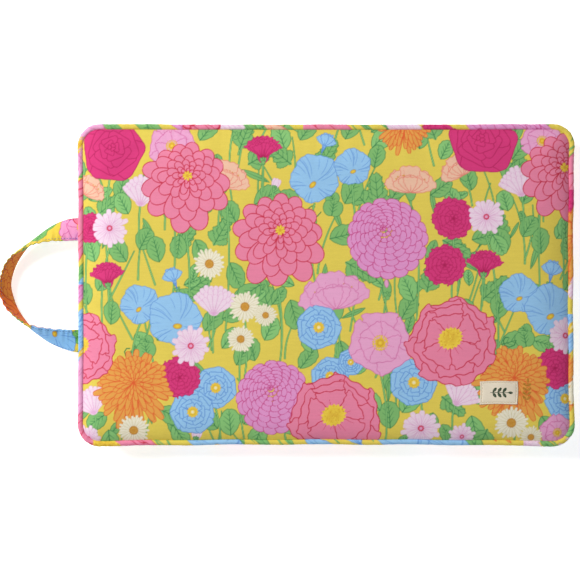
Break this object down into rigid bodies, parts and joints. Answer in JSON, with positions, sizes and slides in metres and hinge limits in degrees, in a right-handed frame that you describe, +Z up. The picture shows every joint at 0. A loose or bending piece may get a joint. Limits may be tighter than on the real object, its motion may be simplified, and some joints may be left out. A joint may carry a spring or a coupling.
{
  "type": "kneeling pad",
  "caption": "Rectangular foam kneeling pad in a zipped, piped fabric cover with a sewn label and a short carry strap on one short side.",
  "frame": {"origin": "centre of the underside resting face", "axes": "+X along the pad's length, away from the handle; +Y across it, towards the zip; +Z up"},
  "size_m": [0.5375, 0.2988, 0.0475],
  "materials": {
    "printed_cover": "woven cotton canvas, printed all over with garden flowers on a yellow ground",
    "foam": "soft open-cell foam, matt",
    "zip_tape": "woven herringbone zip tape",
    "zip_teeth": "moulded, satin",
    "zip_metal": "nickel plated, satin",
    "cord": "twisted cotton cord",
    "interlining": "stiff non-woven, matt",
    "handle_thread": "polyester thread",
    "label_cloth": "cotton twill",
    "label_thread": "cotton thread",
    "gold_thread": "satin-stitched rayon thread with a sheen",
    "emblem_thread": "satin-stitched thread"
  },
  "bodies": {
    "pad": {"foam_core": "foam", "top_panel": "printed_cover", "base_panel": "printed_cover", "side_band": "printed_cover", "zip_placket_upper": "printed_cover", "zip_placket_lower": "printed_cover", "zip_tape_upper": "zip_tape", "zip_tape_lower": "zip_tape", "zip_teeth_upper": "zip_teeth", "zip_teeth_lower": "zip_teeth", "zip_end_stops": "zip_metal", "top_piping_cover": "printed_cover", "top_piping_cord": "cord", "base_piping_cover": "printed_cover", "base_piping_cord": "cord", "handle_end_tabs": "printed_cover", "handle_backing_patches": "interlining", "handle_box_stitching": "handle_thread", "label_patch": "label_cloth", "label_stitching": "label_thread", "label_emblem": "emblem_thread", "embroidered_sprig": "gold_thread"},
    "handle": {"handle_loop": "printed_cover", "handle_interlining": "interlining", "handle_edge_stitching": "handle_thread"},
    "zip_slider": {"zip_slider": "zip_metal"},
    "zip_pull": {"zip_pull": "zip_metal"}
  },
  "joints": [
    {"name": "handle_swing", "type": "hinge", "parent": "pad", "child": "handle", "pos_m": [-0.2294, 0, 0.0216], "axis": [0, 1, 0], "range_deg": [0, 65]},
    {"name": "zip_slide", "type": "slide", "parent": "pad", "child": "zip_slider", "axis": [1, 0, 0], "range_m": [-0.366, 0]},
    {"name": "zip_pull_flip", "type": "hinge", "parent": "zip_slider", "child": "zip_pull", "pos_m": [0.184, 0.14795, 0.0202], "axis": [0, 0, -1], "range_deg": [0, 170]}
  ]
}
